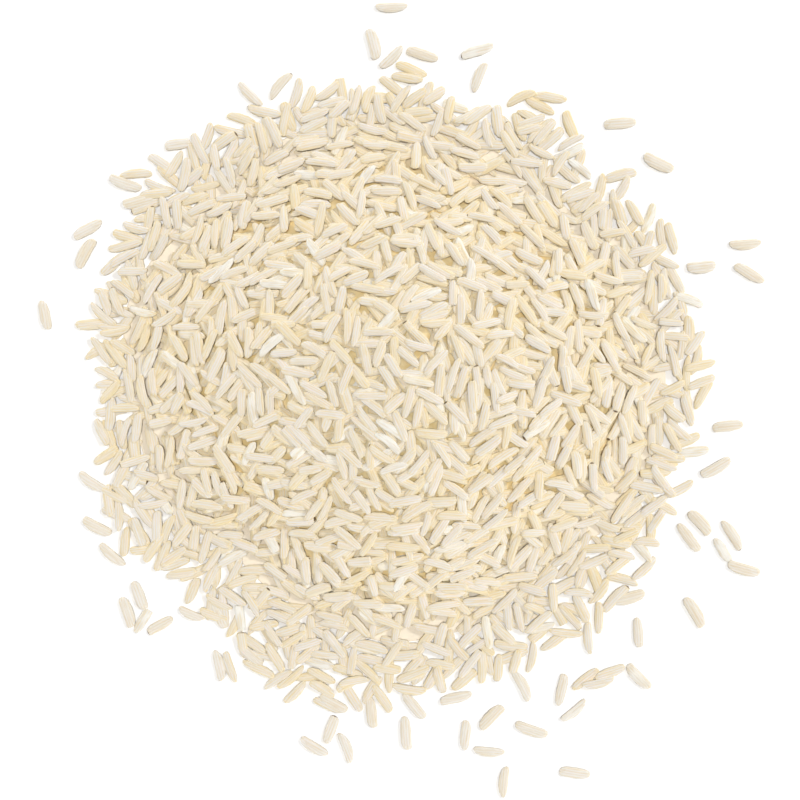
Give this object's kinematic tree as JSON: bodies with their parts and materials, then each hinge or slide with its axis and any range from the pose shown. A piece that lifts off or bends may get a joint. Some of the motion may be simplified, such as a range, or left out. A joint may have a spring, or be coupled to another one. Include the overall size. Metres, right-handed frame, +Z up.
{
  "type": "heap of long-grain rice",
  "caption": "Low round heap of raw long-grain white rice poured on a flat surface, with single grains scattered around its uneven edge.",
  "frame": {"origin": "middle of the heap's flat underside, on the surface it lies on", "axes": "+Z up out of the surface; +X to the right and +Y to the top of the picture, which looks straight down"},
  "size_m": [0.1535, 0.1685, 0.0265],
  "materials": {
    "milled_rice": null
  },
  "bodies": {
    "root": {"rice_heap": "milled_rice", "loose_grain_01": "milled_rice", "loose_grain_02": "milled_rice", "loose_grain_03": "milled_rice", "loose_grain_04": "milled_rice", "loose_grain_05": "milled_rice", "loose_grain_06": "milled_rice", "loose_grain_07": "milled_rice", "loose_grain_08": "milled_rice", "loose_grain_09": "milled_rice", "loose_grain_10": "milled_rice", "loose_grain_11": "milled_rice", "loose_grain_12": "milled_rice", "loose_grain_13": "milled_rice", "loose_grain_14": "milled_rice", "loose_grain_15": "milled_rice", "loose_grain_16": "milled_rice", "loose_grain_17": "milled_rice", "loose_grain_18": "milled_rice", "loose_grain_19": "milled_rice", "loose_grain_20": "milled_rice", "loose_grain_21": "milled_rice", "loose_grain_22": "milled_rice", "loose_grain_23": "milled_rice", "loose_grain_24": "milled_rice", "loose_grain_25": "milled_rice", "loose_grain_26": "milled_rice", "loose_grain_27": "milled_rice", "loose_grain_28": "milled_rice", "loose_grain_29": "milled_rice", "loose_grain_30": "milled_rice", "loose_grain_31": "milled_rice", "loose_grain_32": "milled_rice", "loose_grain_33": "milled_rice", "loose_grain_34": "milled_rice", "loose_grain_35": "milled_rice", "loose_grain_36": "milled_rice", "loose_grain_37": "milled_rice", "loose_grain_38": "milled_rice", "loose_grain_39": "milled_rice", "loose_grain_40": "milled_rice", "loose_grain_41": "milled_rice", "loose_grain_42": "milled_rice", "loose_grain_43": "milled_rice", "loose_grain_44": "milled_rice", "loose_grain_45": "milled_rice", "loose_grain_46": "milled_rice", "loose_grain_47": "milled_rice", "loose_grain_48": "milled_rice", "loose_grain_49": "milled_rice", "loose_grain_50": "milled_rice", "loose_grain_51": "milled_rice", "loose_grain_52": "milled_rice", "loose_grain_53": "milled_rice", "loose_grain_54": "milled_rice", "loose_grain_55": "milled_rice", "loose_grain_56": "milled_rice", "loose_grain_57": "milled_rice", "loose_grain_58": "milled_rice", "loose_grain_59": "milled_rice"}
  },
  "joints": []
}
